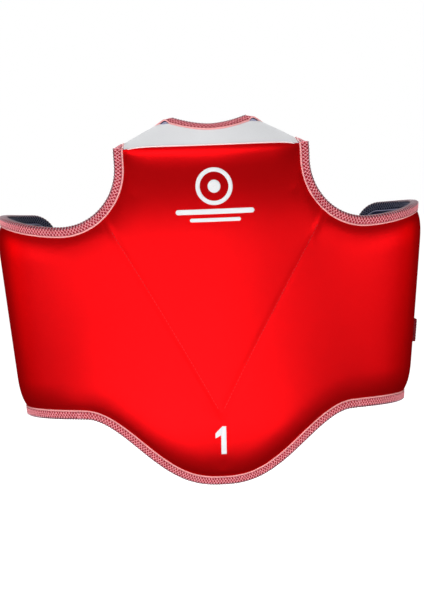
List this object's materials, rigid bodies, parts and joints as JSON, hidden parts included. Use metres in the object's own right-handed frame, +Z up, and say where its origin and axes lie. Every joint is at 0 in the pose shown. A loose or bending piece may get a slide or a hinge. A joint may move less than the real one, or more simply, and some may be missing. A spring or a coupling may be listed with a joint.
{
  "type": "chest protector",
  "caption": "Padded wrap-round trunk protector for martial arts, with V-quilted front, flexing side wings, a shoulder yoke and an elastic back belt that closes with hook-and-loop tabs.",
  "frame": {"origin": "on the wearer's vertical trunk axis, level with the lowest point of the front hem", "axes": "+X towards the right seen from the front, the front faces -Y, +Z up"},
  "size_m": [0.3858, 0.1892, 0.3283],
  "materials": {
    "foam": "closed-cell foam",
    "red_cover": "smooth satin",
    "blue_cover": "smooth satin",
    "red_tape": "knitted tape with zigzag overlock threads",
    "white_yoke": "matte stretch knit",
    "red_thread": "thread",
    "white_print": "heat-transfer print",
    "elastic": "ribbed elastic",
    "label": "satin label",
    "hook_tape": "hook tape",
    "loop_tape": "brushed loop tape"
  },
  "bodies": {
    "front": {"foam_center": "foam", "foam_left": "foam", "foam_right": "foam", "cover_outer_center": "red_cover", "cover_outer_main": "red_cover", "cover_inner_center": "blue_cover", "cover_inner_main": "blue_cover", "quilt_thread_left": "red_thread", "quilt_thread_right": "red_thread", "binding_hem_front": "red_tape", "binding_armhole_left": "red_tape", "binding_armhole_right": "red_tape", "binding_shoulder_left": "red_tape", "binding_shoulder_right": "red_tape", "binding_neck_front": "red_tape", "yoke_front": "white_yoke", "front_mark": "white_print", "size_number": "white_print"},
    "back": {"yoke_back": "white_yoke", "binding_neck_back": "red_tape", "binding_yoke_left": "red_tape", "binding_yoke_right": "red_tape", "belt": "elastic", "belt_patch": "red_cover", "back_label": "label"},
    "left_wing": {"foam_left_wing": "foam", "cover_outer_left_wing": "red_cover", "cover_inner_left_wing": "blue_cover", "binding_left_wing": "red_tape", "loop_patch_left": "loop_tape"},
    "left_tab": {"belt_tab_left": "elastic", "hook_pad_left": "hook_tape"},
    "right_wing": {"foam_right_wing": "foam", "cover_outer_right_wing": "red_cover", "cover_inner_right_wing": "blue_cover", "binding_right_wing": "red_tape", "loop_patch_right": "loop_tape"},
    "right_tab": {"belt_tab_right": "elastic", "hook_pad_right": "hook_tape"}
  },
  "joints": [
    {"name": "back_lift", "type": "hinge", "parent": "front", "child": "back", "pos_m": [0, -0.0498, 0.3272], "axis": [1, 0, 0], "range_deg": [0, 60]},
    {"name": "left_wing_flex", "type": "hinge", "parent": "front", "child": "left_wing", "pos_m": [-0.18082, -0.03961, 0.15], "axis": [-0.0902, -0.0185, 0.9957], "range_deg": [0, 24]},
    {"name": "left_tab_peel", "type": "hinge", "parent": "back", "child": "left_tab", "pos_m": [-0.10804, 0.07253, 0.119], "axis": [-0.0575, 0.0321, 0.9978], "range_deg": [-96, 0]},
    {"name": "right_wing_flex", "type": "hinge", "parent": "front", "child": "right_wing", "pos_m": [0.18082, -0.03961, 0.15], "axis": [0.0902, -0.0185, 0.9957], "range_deg": [-24, 0]},
    {"name": "right_tab_peel", "type": "hinge", "parent": "back", "child": "right_tab", "pos_m": [0.10804, 0.07253, 0.119], "axis": [0.0575, 0.0321, 0.9978], "range_deg": [0, 96]}
  ],
  "couplings": [
    {"joint": "left_wing_flex", "follows": "left_tab_peel", "ratio": -0.25},
    {"joint": "right_wing_flex", "follows": "right_tab_peel", "ratio": -0.25}
  ]
}
